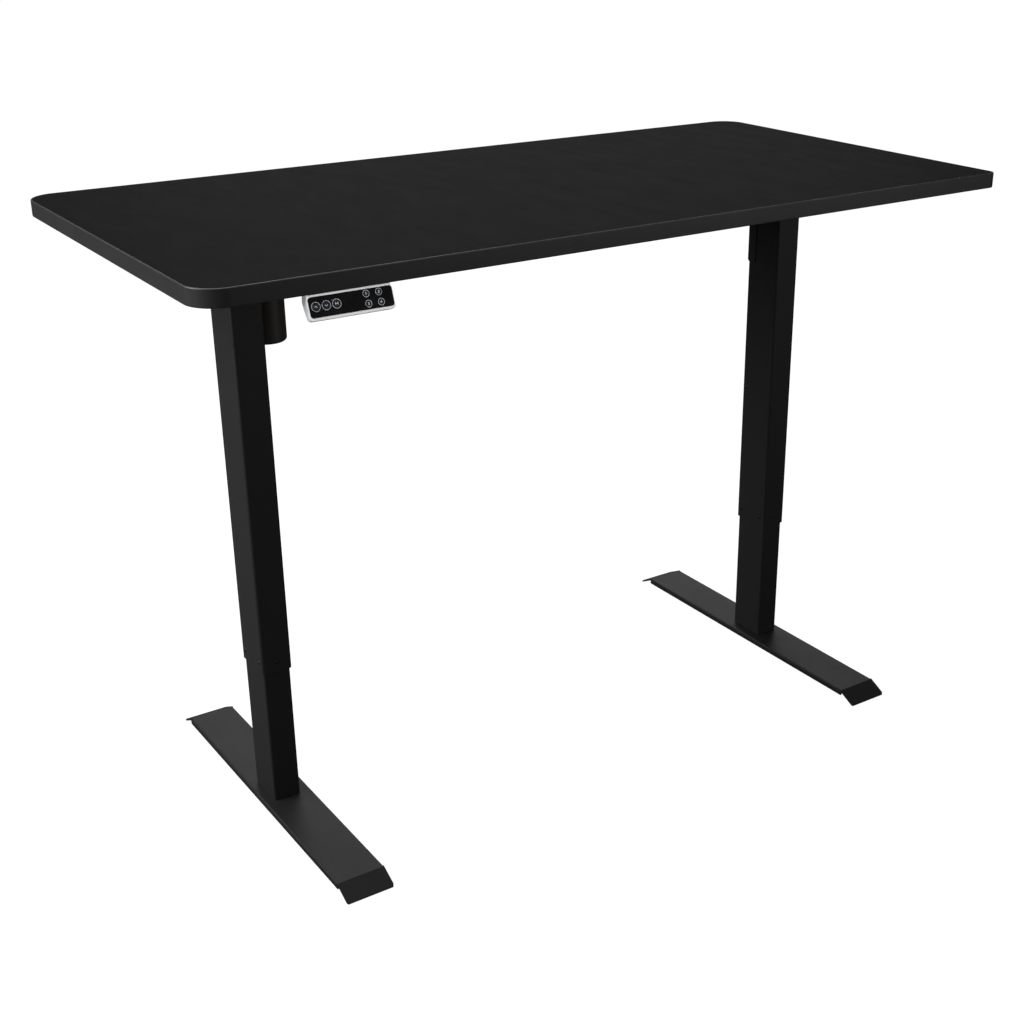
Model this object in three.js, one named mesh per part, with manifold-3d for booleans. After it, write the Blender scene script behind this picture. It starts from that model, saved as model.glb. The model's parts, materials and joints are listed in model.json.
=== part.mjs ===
// Height adjustable standing desk: one motor, two lifting columns, desktop with rounded corners.
// Units are millimetres. +X is to the user's right, +Y is to the back, +Z is up.
// The origin is on the floor under the middle of the whole outline, keypad included.
// Places are given from the middle of the desktop, and the finished group is moved by a few millimetres.

import * as THREE from "three";
import { ConvexGeometry } from "three/addons/geometries/ConvexGeometry.js";
import { mergeVertices } from "three/addons/utils/BufferGeometryUtils.js";
import Module from "manifold-3d";

const wasm = await Module();
wasm.setup();

// ---------------------------------------------------------------- driving dimensions

const GAP = 0.3; // clearance between pieces that rest on each other

// Desktop
const TOP_WIDTH = 1400;
const TOP_DEPTH = 700;
const TOP_THICKNESS = 25;
const TOP_HEIGHT = 957; // upper face above the floor, at the middle of the lift
const TOP_CORNER = 45;
const FRONT_RIGHT_CORNER = 15; // this corner is tighter than the other three
const BAND_THICKNESS = 2;
const BAND_ROUND = 2;
const CORNER_STEPS = 5; // half the number of flats round each corner

// Columns
const COLUMN_X = 516; // column centre from the middle of the desk
const COLUMN_Y = -9;
const OUTER_X = 50;
const OUTER_Y = 78;
const OUTER_BOTTOM = 253.8;
const INNER_X = 45;
const INNER_Y = 73;
const INNER_TOP = 630;
const TUBE_WALL = 1.5;
const TUBE_CORNER = 4.5;
const INNER_CORNER = 3.5;
const GLIDE_WALL = 0.6;
const GLIDE_GAP = 0.2;
const LOWER_GLIDE_HEIGHT = 70;
const UPPER_GLIDE_HEIGHT = 70;

// Feet
const FOOT_X = 514;
const FOOT_Y = -10;
const FOOT_WIDTH = 79;
const FOOT_HEIGHT = 20;
const FOOT_FLAT = 584; // length of the flat top
const FOOT_LENGTH = 650; // length between the tips of the two ramps
const FOOT_SHEET = 3;
const FOOT_FLANGE = 10; // lower edge of the side flanges above the floor
const FOOT_BEND = 3;
const FOOT_TIP_ROUND = 6;
const FOOT_TIP_LIFT = 1;
const PLATE_X = 71;
const PLATE_Y = 150;
const PAD_RADIUS = 15;
const PAD_HEIGHT = 7;
const STUD_RADIUS = 4;
const PAD_Y = 265; // levelling pads from the middle of the foot

// Gearing
const SHAFT_Z = 900; // drive shaft axis
const SHAFT_HEX = 7; // across flats
const SHAFT_HOLE = 7; // radius of the holes that the shaft passes through
const BEVEL_RADIUS = 16; // pitch radius at the large end of the bevel gears
const BEVEL_CLEAR = 0.3; // teeth are drawn short by this much, so that they clear each other
const BEVEL_FACE = 7;
const BEVEL_TEETH = 16;
const BEVEL_TOOTH = 1.4;
const WHEEL_RADIUS = 21.5;
const WHEEL_TEETH = 30;
const WHEEL_TOOTH = 1.6;
const WHEEL_WIDTH = 12;
const WORM_RADIUS = 7;
const WORM_LENGTH = 32;
const SCREW_RADIUS = 8;
const SCREW_BOTTOM = 340;
const NUT_HEIGHT = 30;
const BEARING_RADIUS = 16;
const BEARING_HEIGHT = 8;

// Gear housings at the column heads
const HOUSING_X = 52;
const HOUSING_Y = 84;
const HOUSING_BOTTOM = 866;
const HOUSING_TOP = 922;
const HOUSING_WALL = 3;
const COVER_THICKNESS = 3;

// Motor, hanging beside the left column
const MOTOR_X = -460;
const MOTOR_Y = 20;
const MOTOR_RADIUS = 29.4;
const MOTOR_BOTTOM = 769;
const MOTOR_TOP = 868;
const MOTOR_ROUND = 5;
const MOTOR_WALL = 2;
const GEAR_CASE_X = 45;
const GEAR_CASE_Y = 84;
const GEAR_CASE_BOTTOM = 872;
const GEAR_CASE_TOP = 926;

// Frame under the desktop
const BRACKET_LENGTH = 540;
const BRACKET_WIDTH = 66;
const BRACKET_SHEET = 3;
const BRACKET_DROP = 20;
const RAIL_WIDTH = 40;
const RAIL_HEIGHT = 20;
const RAIL_WALL = 2;
const RAIL_OFFSET = 95; // from the column centre line, to the front and to the back

// Guard on the inner face of the right column
const GUARD_WIDTH = 20;
const GUARD_THICKNESS = 1;
const GUARD_BOTTOM = 760;
const GUARD_Y = 20;

// Control box
const BOX_X = -215;
const BOX_Y = 175;
const BOX_LENGTH = 230;
const BOX_DEPTH = 95;
const BOX_HEIGHT = 36;
const BOX_WALL = 2.5;
const BOX_ROUND = 6;
const LID_THICKNESS = 2.4;
const INLET_OFFSET = 81; // mains inlet from the middle of the back face
const INLET_HEIGHT = 15;

// Handset
const HANDSET_LEFT = -559.6;
const HANDSET_WIDTH = 120.4;
const HANDSET_FACE = 31; // height of the tilted face
const HANDSET_TILT = 20; // face leans back from the vertical, in degrees
const HANDSET_FRONT = -350; // upper edge of the face
const HANDSET_ROUND = 5.5;
const HANDSET_LIP = 1.4; // rounding between the face and the sides
const HANDSET_DEEP = [11, 17.5]; // thickness of the housing at its lower and upper edge
const TONGUE_DEPTH = 62; // back edge of the mounting tongue behind the upper edge of the face
const TONGUE_WIDTH = 96;
const TONGUE_THICKNESS = 2.5;
const GLASS_WIDTH = 116.8;
const GLASS_HEIGHT = 26.2;
const GLASS_TOP = 0.9; // below the upper edge of the face
const GLASS_THICKNESS = 1.2;
const GLASS_PROUD = 0.3;
const GLASS_ROUND = 4.2;
const HANDSET_WELL = 6;
const KEY_PROUD = 0.5;
const KEY_DEPTH = 2.4;
const KEY_GAP = 0.25;
const LARGE_KEY = 6.4;
const SMALL_KEY = 4.9;
const LARGE_KEYS = [8.9, 23.3, 37.6]; // centres from the left edge of the glass
const LARGE_KEY_ROW = 0.6; // above the middle of the glass
const UPPER_KEYS = [79.8, 97.8];
const LOWER_KEYS = [80.9, 98.9];
const UPPER_ROW = 7.2;
const LOWER_ROW = -5.9;

// Leads clipped under the desktop
const LEAD_RADIUS = 2.5;
const LEAD_DROP = 7; // lead centre below the desktop
const LEAD_END = 0.8; // a lead stops this far from the face that it enters

const UNDERSIDE = TOP_HEIGHT - TOP_THICKNESS;
const INNER_BOTTOM = FOOT_HEIGHT + GAP;
const SCREW_TOP = SHAFT_Z - BEVEL_RADIUS;
const GLASS_MIDDLE = HANDSET_LEFT + HANDSET_WIDTH / 2;

// ---------------------------------------------------------------- materials

const finishes = {
  laminate: { color: 0x1b1b1c, roughness: 0.55, metalness: 0 },
  steel: { color: 0x161617, roughness: 0.6, metalness: 0.3 },
  zinc: { color: 0x9a9da0, roughness: 0.35, metalness: 1 },
  castAlloy: { color: 0x2a2a2c, roughness: 0.6, metalness: 0.6 },
  bronze: { color: 0x9c7440, roughness: 0.4, metalness: 1 },
  blackPlastic: { color: 0x151515, roughness: 0.7, metalness: 0 },
  whitePlastic: { color: 0xdadada, roughness: 0.5, metalness: 0 },
  glass: { color: 0x050506, roughness: 0.1, metalness: 0 },
  rubber: { color: 0x101010, roughness: 0.9, metalness: 0 },
};

const desk = new THREE.Group();

// Adds one named mesh, with a material of its own, to a parent group.
function addPart(name, geometry, finish, parent = desk) {
  const mesh = new THREE.Mesh(geometry, new THREE.MeshStandardMaterial(finishes[finish]));
  mesh.name = name;
  parent.add(mesh);
  return mesh;
}

// ---------------------------------------------------------------- solid helpers

function toManifold(geometry) {
  const bare = geometry.clone();
  bare.deleteAttribute("normal");
  bare.deleteAttribute("uv");
  const merged = mergeVertices(bare, 1e-4);
  const vertProperties = merged.attributes.position.array;
  const triVerts = new Uint32Array(merged.index.array);
  return new wasm.Manifold(new wasm.Mesh({ numProp: 3, vertProperties, triVerts }));
}

function toGeometry(solid) {
  const mesh = solid.getMesh();
  const geometry = new THREE.BufferGeometry();
  geometry.setAttribute("position", new THREE.BufferAttribute(mesh.vertProperties, 3));
  geometry.setIndex(new THREE.BufferAttribute(mesh.triVerts, 1));
  return geometry;
}

function join(geometries) {
  return toGeometry(geometries.map(toManifold).reduce((whole, next) => whole.add(next)));
}

function cut(geometry, tools) {
  const start = toManifold(geometry);
  return toGeometry(tools.map(toManifold).reduce((whole, tool) => whole.subtract(tool), start));
}

function common(first, second) {
  return toGeometry(toManifold(first).intersect(toManifold(second)));
}

function box(x, y, z, at) {
  return new THREE.BoxGeometry(x, y, z).translate(at[0], at[1], at[2]);
}

// A rectangle with round corners, drawn about the origin. Its lower right corner may differ.
function roundedRectangle(width, height, radius, lowerRight = radius) {
  const shape = new THREE.Shape();
  const x = width / 2;
  const y = height / 2;
  shape.moveTo(-x + radius, -y);
  shape.lineTo(x - lowerRight, -y);
  shape.absarc(x - lowerRight, -y + lowerRight, lowerRight, -Math.PI / 2, 0, false);
  shape.lineTo(x, y - radius);
  shape.absarc(x - radius, y - radius, radius, 0, Math.PI / 2, false);
  shape.lineTo(-x + radius, y);
  shape.absarc(-x + radius, y - radius, radius, Math.PI / 2, Math.PI, false);
  shape.lineTo(-x, -y + radius);
  shape.absarc(-x + radius, -y + radius, radius, Math.PI, 1.5 * Math.PI, false);
  shape.closePath();
  return shape;
}

function circle(radius) {
  return new THREE.Shape().absarc(0, 0, radius, 0, 2 * Math.PI, false);
}

// An outline pushed up along Z from the height bottom to the height top.
function rise(shape, bottom, top, curveSegments = 4) {
  const options = { depth: top - bottom, bevelEnabled: false, curveSegments };
  return new THREE.ExtrudeGeometry(shape, options).translate(0, 0, bottom);
}

// An outline drawn in Y and Z, pushed out along X to both sides of x = 0.
function across(shape, width, curveSegments = 4) {
  const solid = rise(shape, -width / 2, width / 2, curveSegments);
  return solid.rotateX(Math.PI / 2).rotateZ(Math.PI / 2);
}

// A flat plate with round corners.
function plate(width, depth, radius, bottom, thickness) {
  return rise(roundedRectangle(width, depth, radius), bottom, bottom + thickness, 3);
}

// A rounded rectangular tube along Z.
function tube(width, depth, radius, wall, bottom, top) {
  const shape = roundedRectangle(width, depth, radius);
  shape.holes.push(roundedRectangle(width - 2 * wall, depth - 2 * wall, Math.max(radius - wall, 0.5)));
  return rise(shape, bottom, top, 3);
}

// A solid of revolution about Z; the profile is a list of [radius, height].
function turned(profile, segments) {
  const points = profile.map(([radius, height]) => new THREE.Vector2(radius, height));
  return new THREE.LatheGeometry(points, segments).rotateX(Math.PI / 2);
}

// A hollow cylinder along Z.
function ring(inner, outer, bottom, top, segments = 24) {
  return turned([[inner, bottom], [outer, bottom], [outer, top], [inner, top], [inner, bottom]], segments);
}

// A cylinder along Z.
function rod(radius, bottom, top, segments = 16) {
  return turned([[0, bottom], [radius, bottom], [radius, top], [0, top]], segments);
}

// The outline of a gear with straight-sided teeth, its roots one tooth depth inside the tips.
function gearOutline(tipRadius, toothDepth, teeth) {
  const shape = new THREE.Shape();
  const steps = [0, 0.22, 0.5, 0.72];
  for (let tooth = 0; tooth < teeth; tooth += 1) {
    steps.forEach((part, step) => {
      const angle = ((tooth + part - 0.11) * 2 * Math.PI) / teeth;
      const radius = step < 2 ? tipRadius : tipRadius - toothDepth;
      const point = [radius * Math.cos(angle), radius * Math.sin(angle)];
      if (tooth + step === 0) shape.moveTo(...point);
      else shape.lineTo(...point);
    });
  }
  shape.closePath();
  return shape;
}

// A bevel gear about Z: teeth from the large end at z = 0 to the small end above, with a hub below.
function bevelGear(boreRadius, hubLength) {
  const small = 1 - BEVEL_FACE / BEVEL_RADIUS;
  const outline = gearOutline(BEVEL_RADIUS - BEVEL_CLEAR, BEVEL_TOOTH, BEVEL_TEETH);
  const teeth = rise(outline, 0, BEVEL_FACE);
  const position = teeth.attributes.position;
  for (let i = 0; i < position.count; i += 1) {
    const scale = position.getZ(i) > BEVEL_FACE / 2 ? small : 1;
    position.setXY(i, position.getX(i) * scale, position.getY(i) * scale);
  }
  const blank = join([teeth, rod(BEVEL_RADIUS * 0.6, -hubLength, 1)]);
  return cut(blank, [rod(boreRadius, -hubLength - 1, BEVEL_FACE + 1, 16)]);
}

// ---------------------------------------------------------------- desktop

// The desktop's outline, moved inwards by an inset.
function desktopOutline(inset) {
  const corner = TOP_CORNER - inset;
  const tight = FRONT_RIGHT_CORNER - inset;
  return roundedRectangle(TOP_WIDTH - 2 * inset, TOP_DEPTH - 2 * inset, corner, tight);
}

function makeDesktop() {
  const board = rise(desktopOutline(BAND_THICKNESS + 0.1), UNDERSIDE, TOP_HEIGHT, CORNER_STEPS);
  addPart("desktop_board", board, "laminate");

  // The band's section is swept round the edge by stacking outlines of slightly different size.
  const levels = [];
  const arcSteps = 2;
  for (let step = 0; step <= arcSteps; step += 1) {
    const angle = (step / arcSteps) * (Math.PI / 2);
    const inset = BAND_ROUND * (1 - Math.sin(angle));
    levels.push([inset * 0.9, UNDERSIDE + BAND_ROUND * (1 - Math.cos(angle))]);
  }
  for (let step = arcSteps; step >= 0; step -= 1) {
    const angle = (step / arcSteps) * (Math.PI / 2);
    const inset = BAND_ROUND * (1 - Math.sin(angle));
    levels.push([inset * 0.9, TOP_HEIGHT - BAND_ROUND * (1 - Math.cos(angle))]);
  }
  const outlines = levels.map(([inset, z]) => [desktopOutline(inset).getPoints(CORNER_STEPS), z]);
  const outer = stackedSolid(outlines);
  const inner = rise(desktopOutline(BAND_THICKNESS), UNDERSIDE - 5, TOP_HEIGHT + 5, CORNER_STEPS);
  const band = cut(outer, [inner]);
  addPart("desktop_edge_band", band, "laminate");
}

// A solid whose outline changes with height; every outline has the same number of points.
function stackedSolid(levels) {
  const positions = [];
  const rings = levels.map(([points, height]) =>
    points.slice(0, -1).map((point) => [point.x, point.y, height]),
  );
  const count = rings[0].length;
  for (let level = 0; level + 1 < rings.length; level += 1) {
    for (let i = 0; i < count; i += 1) {
      const j = (i + 1) % count;
      const [a, b] = [rings[level][i], rings[level][j]];
      const [c, d] = [rings[level + 1][j], rings[level + 1][i]];
      positions.push(...a, ...b, ...c, ...a, ...c, ...d);
    }
  }
  const last = rings[rings.length - 1];
  for (let i = 1; i + 1 < count; i += 1) {
    positions.push(...rings[0][0], ...rings[0][i + 1], ...rings[0][i]);
    positions.push(...last[0], ...last[i], ...last[i + 1]);
  }
  const geometry = new THREE.BufferGeometry();
  geometry.setAttribute("position", new THREE.Float32BufferAttribute(positions, 3));
  return geometry;
}

// ---------------------------------------------------------------- feet

// Folded sheet along Y: a flat top with two side flanges, and a ramp bent down at each end.
function footGeometry() {
  const half = FOOT_WIDTH / 2;
  const section = new THREE.Shape();
  section.moveTo(-half, FOOT_FLANGE);
  section.lineTo(-half + FOOT_SHEET, FOOT_FLANGE);
  section.lineTo(-half + FOOT_SHEET, FOOT_HEIGHT - FOOT_SHEET);
  section.lineTo(half - FOOT_SHEET, FOOT_HEIGHT - FOOT_SHEET);
  section.lineTo(half - FOOT_SHEET, FOOT_FLANGE);
  section.lineTo(half, FOOT_FLANGE);
  section.lineTo(half, FOOT_HEIGHT - FOOT_BEND);
  section.absarc(half - FOOT_BEND, FOOT_HEIGHT - FOOT_BEND, FOOT_BEND, 0, Math.PI / 2, false);
  section.lineTo(-half + FOOT_BEND, FOOT_HEIGHT);
  section.absarc(-half + FOOT_BEND, FOOT_HEIGHT - FOOT_BEND, FOOT_BEND, Math.PI / 2, Math.PI, false);
  section.closePath();
  const channel = rise(section, -FOOT_FLAT / 2, FOOT_FLAT / 2, 4).rotateX(Math.PI / 2);

  const flatEnd = FOOT_FLAT / 2;
  const tip = FOOT_LENGTH / 2;
  const run = tip - flatEnd;
  const drop = FOOT_HEIGHT - FOOT_TIP_LIFT - FOOT_SHEET * Math.cos(Math.PI / 6);
  const slope = Math.hypot(run, drop);
  const acrossY = (-FOOT_SHEET * drop) / slope;
  const acrossZ = (-FOOT_SHEET * run) / slope;
  const ramp = new THREE.Shape();
  ramp.moveTo(flatEnd - 2, FOOT_HEIGHT);
  ramp.lineTo(flatEnd - 2, FOOT_HEIGHT - FOOT_SHEET);
  ramp.lineTo(flatEnd - 0.8, FOOT_HEIGHT - FOOT_SHEET);
  ramp.lineTo(tip + acrossY, FOOT_HEIGHT - drop + acrossZ);
  ramp.lineTo(tip, FOOT_HEIGHT - drop);
  ramp.lineTo(flatEnd, FOOT_HEIGHT);
  ramp.closePath();
  const back = across(ramp, FOOT_WIDTH - 0.4);
  const front = back.clone().rotateZ(Math.PI);
  const plan = rise(roundedRectangle(FOOT_WIDTH, FOOT_LENGTH, FOOT_TIP_ROUND), -1, FOOT_HEIGHT + 1);
  return common(join([channel, back, front]), plan);
}

function makeFoot(side, x) {
  const group = new THREE.Group();
  group.position.set(x, FOOT_Y, 0);
  desk.add(group);
  addPart(`${side}_foot`, footGeometry(), "steel", group);
  const underFoot = FOOT_HEIGHT - FOOT_SHEET - GAP;
  const columnPlate = plate(PLATE_X, PLATE_Y, 6, underFoot - FOOT_SHEET, FOOT_SHEET);
  addPart(`${side}_column_plate`, columnPlate, "steel", group);
  const ends = { front: -PAD_Y, back: PAD_Y };
  for (const [end, y] of Object.entries(ends)) {
    const pad = turned([
      [0, 0],
      [PAD_RADIUS - 1.5, 0],
      [PAD_RADIUS, 1.5],
      [PAD_RADIUS - 1, PAD_HEIGHT - 1.5],
      [PAD_RADIUS - 4, PAD_HEIGHT],
      [STUD_RADIUS, PAD_HEIGHT],
      [STUD_RADIUS, underFoot],
      [0, underFoot],
    ], 16);
    addPart(`${side}_${end}_levelling_pad`, pad.translate(0, y, 0), "rubber", group);
  }
}

// ---------------------------------------------------------------- columns

function makeColumn(side, x, towardsMiddle) {
  const group = new THREE.Group();
  group.position.set(x, COLUMN_Y, 0);
  desk.add(group);

  const outer = tube(OUTER_X, OUTER_Y, TUBE_CORNER, TUBE_WALL, OUTER_BOTTOM, HOUSING_BOTTOM - GAP);
  addPart(`${side}_outer_tube`, outer, "steel", group);
  const inner = tube(INNER_X, INNER_Y, INNER_CORNER, TUBE_WALL, INNER_BOTTOM, INNER_TOP);
  addPart(`${side}_inner_tube`, inner, "steel", group);

  const glideX = INNER_X + 2 * (GLIDE_WALL + GLIDE_GAP);
  const glideY = INNER_Y + 2 * (GLIDE_WALL + GLIDE_GAP);
  const lowerBottom = OUTER_BOTTOM + 1;
  const lowerTop = lowerBottom + LOWER_GLIDE_HEIGHT;
  const lower = tube(glideX, glideY, INNER_CORNER, GLIDE_WALL, lowerBottom, lowerTop);
  addPart(`${side}_lower_glide`, lower, "blackPlastic", group);
  const upperTop = INNER_TOP - 4;
  const upper = tube(glideX, glideY, INNER_CORNER, GLIDE_WALL, upperTop - UPPER_GLIDE_HEIGHT, upperTop);
  addPart(`${side}_upper_glide`, upper, "blackPlastic", group);

  const nutX = INNER_X - 2 * TUBE_WALL - 2 * GAP;
  const nutY = INNER_Y - 2 * TUBE_WALL - 2 * GAP;
  const nutBlock = rise(roundedRectangle(nutX, nutY, 3), INNER_TOP - NUT_HEIGHT, INNER_TOP, 3);
  const nutBore = rod(SCREW_RADIUS + 0.8, INNER_TOP - NUT_HEIGHT - 1, INNER_TOP + 1);
  addPart(`${side}_lift_nut`, cut(nutBlock, [nutBore]), "blackPlastic", group);

  const screw = turned([
    [0, SCREW_BOTTOM],
    [SCREW_RADIUS - 2, SCREW_BOTTOM],
    [SCREW_RADIUS, SCREW_BOTTOM + 2],
    [SCREW_RADIUS, SCREW_TOP - 26],
    [SCREW_RADIUS - 2, SCREW_TOP - 24],
    [SCREW_RADIUS - 2, SCREW_TOP + 2],
    [0, SCREW_TOP + 2],
  ], 16);
  addPart(`${side}_lead_screw`, screw, "zinc", group);
  const screwGear = bevelGear(SCREW_RADIUS - 2 + GAP, 5).translate(0, 0, SCREW_TOP);
  addPart(`${side}_screw_bevel_gear`, screwGear, "zinc", group);

  const bearingBottom = HOUSING_BOTTOM + HOUSING_WALL + GAP;
  const bearing = ring(SCREW_RADIUS - 2 + GAP, BEARING_RADIUS, bearingBottom, bearingBottom + BEARING_HEIGHT);
  addPart(`${side}_screw_bearing`, bearing, "zinc", group);

  const shell = rise(roundedRectangle(HOUSING_X, HOUSING_Y, 5), HOUSING_BOTTOM, HOUSING_TOP, 3);
  const cavityShape = roundedRectangle(HOUSING_X - 2 * HOUSING_WALL, HOUSING_Y - 2 * HOUSING_WALL, 3);
  const cavity = rise(cavityShape, HOUSING_BOTTOM + HOUSING_WALL, HOUSING_TOP + 1, 3);
  const screwHole = rod(SCREW_RADIUS + 1, HOUSING_BOTTOM - 1, HOUSING_BOTTOM + HOUSING_WALL + 1);
  const shaftHole = rod(SHAFT_HOLE, 0, HOUSING_X).rotateY((towardsMiddle * Math.PI) / 2);
  const housing = cut(shell, [cavity, screwHole, shaftHole.translate(0, 0, SHAFT_Z)]);
  addPart(`${side}_gear_housing`, housing, "castAlloy", group);
  const cover = plate(HOUSING_X, HOUSING_Y, 5, HOUSING_TOP + GAP, COVER_THICKNESS);
  addPart(`${side}_gear_cover`, cover, "castAlloy", group);

  const pinion = bevelGear(SHAFT_HEX / Math.sqrt(3) + GAP, 5);
  pinion.rotateY((-towardsMiddle * Math.PI) / 2);
  pinion.translate(towardsMiddle * BEVEL_RADIUS, 0, SHAFT_Z);
  addPart(`${side}_shaft_bevel_gear`, pinion, "zinc", group);
}

// ---------------------------------------------------------------- drive

function makeDrive() {
  const reach = COLUMN_X - BEVEL_RADIUS + BEVEL_FACE - 1;
  const hexRadius = SHAFT_HEX / Math.sqrt(3);
  const bar = rod(hexRadius, -reach, reach, 6).rotateY(Math.PI / 2).translate(0, COLUMN_Y, SHAFT_Z);
  addPart("drive_shaft", bar, "zinc");

  const wheelOutline = gearOutline(WHEEL_RADIUS, WHEEL_TOOTH, WHEEL_TEETH);
  const wheelBlank = rise(wheelOutline, -WHEEL_WIDTH / 2, WHEEL_WIDTH / 2);
  const wheel = cut(wheelBlank, [rod(hexRadius + GAP, -WHEEL_WIDTH, WHEEL_WIDTH, 16)]);
  wheel.rotateY(Math.PI / 2);
  addPart("worm_wheel", wheel.translate(MOTOR_X, COLUMN_Y, SHAFT_Z), "bronze");

  const wormBottom = SHAFT_Z - WORM_LENGTH / 2;
  const wormTop = SHAFT_Z + WORM_LENGTH / 2;
  const worm = turned([
    [0, MOTOR_TOP - 60],
    [4, MOTOR_TOP - 60],
    [4, wormBottom - 2],
    [WORM_RADIUS, wormBottom],
    [WORM_RADIUS, wormTop],
    [4, wormTop + 2],
    [4, wormTop + 5],
    [0, wormTop + 5],
  ], 16);
  addPart("motor_worm_shaft", worm.translate(MOTOR_X, MOTOR_Y, 0), "zinc");
}

function makeMotor() {
  const rounded = [];
  const steps = 3;
  for (let step = 0; step <= steps; step += 1) {
    const angle = (step / steps) * (Math.PI / 2);
    const radius = MOTOR_RADIUS - MOTOR_ROUND * (1 - Math.sin(angle));
    rounded.push([radius, MOTOR_BOTTOM + MOTOR_ROUND * (1 - Math.cos(angle))]);
  }
  const inside = MOTOR_RADIUS - MOTOR_WALL;
  const can = turned([
    [0, MOTOR_BOTTOM],
    ...rounded,
    [MOTOR_RADIUS, MOTOR_TOP],
    [inside, MOTOR_TOP],
    [inside, MOTOR_BOTTOM + MOTOR_WALL + 3],
    [0, MOTOR_BOTTOM + MOTOR_WALL + 3],
  ], 28);
  addPart("motor_can", can.translate(MOTOR_X, MOTOR_Y, 0), "steel");

  const plateTop = GEAR_CASE_BOTTOM - GAP;
  const endPlate = ring(6, MOTOR_RADIUS, MOTOR_TOP + GAP, plateTop, 28);
  addPart("motor_end_plate", endPlate.translate(MOTOR_X, MOTOR_Y, 0), "castAlloy");

  const caseY = (MOTOR_Y + COLUMN_Y) / 2;
  const shell = rise(roundedRectangle(GEAR_CASE_X, GEAR_CASE_Y, 5), GEAR_CASE_BOTTOM, GEAR_CASE_TOP, 3);
  const cavityShape = roundedRectangle(GEAR_CASE_X - 2 * HOUSING_WALL, GEAR_CASE_Y - 2 * HOUSING_WALL, 3);
  const cavity = rise(cavityShape, GEAR_CASE_BOTTOM + HOUSING_WALL, GEAR_CASE_TOP + 1, 3);
  const wormHole = rod(6, GEAR_CASE_BOTTOM - 1, GEAR_CASE_BOTTOM + HOUSING_WALL + 1);
  wormHole.translate(0, MOTOR_Y - caseY, 0);
  const shaftHole = rod(SHAFT_HOLE, -GEAR_CASE_X, GEAR_CASE_X).rotateY(Math.PI / 2);
  shaftHole.translate(0, COLUMN_Y - caseY, SHAFT_Z);
  const gearCase = cut(shell, [cavity, wormHole, shaftHole]).translate(MOTOR_X, caseY, 0);
  addPart("motor_gear_case", gearCase, "castAlloy");
  const cover = plate(GEAR_CASE_X, GEAR_CASE_Y, 5, GEAR_CASE_TOP + GAP, COVER_THICKNESS);
  addPart("motor_gear_cover", cover.translate(MOTOR_X, caseY, 0), "castAlloy");
}

// ---------------------------------------------------------------- frame under the desktop

// Folded channel along Y that bridges the column head, with its ends cut on a slope.
function makeSideBracket(side, x) {
  const half = BRACKET_WIDTH / 2;
  const top = UNDERSIDE - GAP;
  const section = new THREE.Shape();
  section.moveTo(-half, top - BRACKET_DROP);
  section.lineTo(-half + BRACKET_SHEET, top - BRACKET_DROP);
  section.lineTo(-half + BRACKET_SHEET, top - BRACKET_SHEET);
  section.lineTo(half - BRACKET_SHEET, top - BRACKET_SHEET);
  section.lineTo(half - BRACKET_SHEET, top - BRACKET_DROP);
  section.lineTo(half, top - BRACKET_DROP);
  section.lineTo(half, top);
  section.lineTo(-half, top);
  section.closePath();
  const channel = rise(section, -BRACKET_LENGTH / 2, BRACKET_LENGTH / 2).rotateX(Math.PI / 2);

  const slope = new THREE.Shape();
  slope.moveTo(-BRACKET_LENGTH / 2, top + 1);
  slope.lineTo(-BRACKET_LENGTH / 2, top - 7);
  slope.lineTo(-BRACKET_LENGTH / 2 + 40, top - BRACKET_DROP - 1);
  slope.lineTo(BRACKET_LENGTH / 2 - 40, top - BRACKET_DROP - 1);
  slope.lineTo(BRACKET_LENGTH / 2, top - 7);
  slope.lineTo(BRACKET_LENGTH / 2, top + 1);
  slope.closePath();
  const envelope = across(slope, 2 * BRACKET_WIDTH);
  addPart(`${side}_side_bracket`, common(channel, envelope).translate(x, COLUMN_Y, 0), "steel");
}

function makeRail(end, y) {
  const length = 2 * (COLUMN_X - BRACKET_WIDTH / 2 - GAP);
  const shape = roundedRectangle(RAIL_HEIGHT, RAIL_WIDTH, 2);
  shape.holes.push(roundedRectangle(RAIL_HEIGHT - 2 * RAIL_WALL, RAIL_WIDTH - 2 * RAIL_WALL, 1));
  const rail = rise(shape, -length / 2, length / 2, 2).rotateY(Math.PI / 2);
  addPart(`${end}_rail`, rail.translate(0, y, UNDERSIDE - GAP - RAIL_HEIGHT / 2), "steel");
}

// A slim cover plate on the inner face of the right column, its lower end rounded.
function makeColumnGuard() {
  const top = HOUSING_BOTTOM - GAP;
  const shape = roundedRectangle(GUARD_WIDTH, top - GUARD_BOTTOM, 5);
  const plate = rise(shape, 0, GUARD_THICKNESS, 4).rotateX(Math.PI / 2).rotateZ(-Math.PI / 2);
  const x = COLUMN_X - OUTER_X / 2 - GAP;
  addPart("right_column_guard", plate.translate(x, GUARD_Y, (top + GUARD_BOTTOM) / 2), "blackPlastic");
}

// ---------------------------------------------------------------- control box

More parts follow.
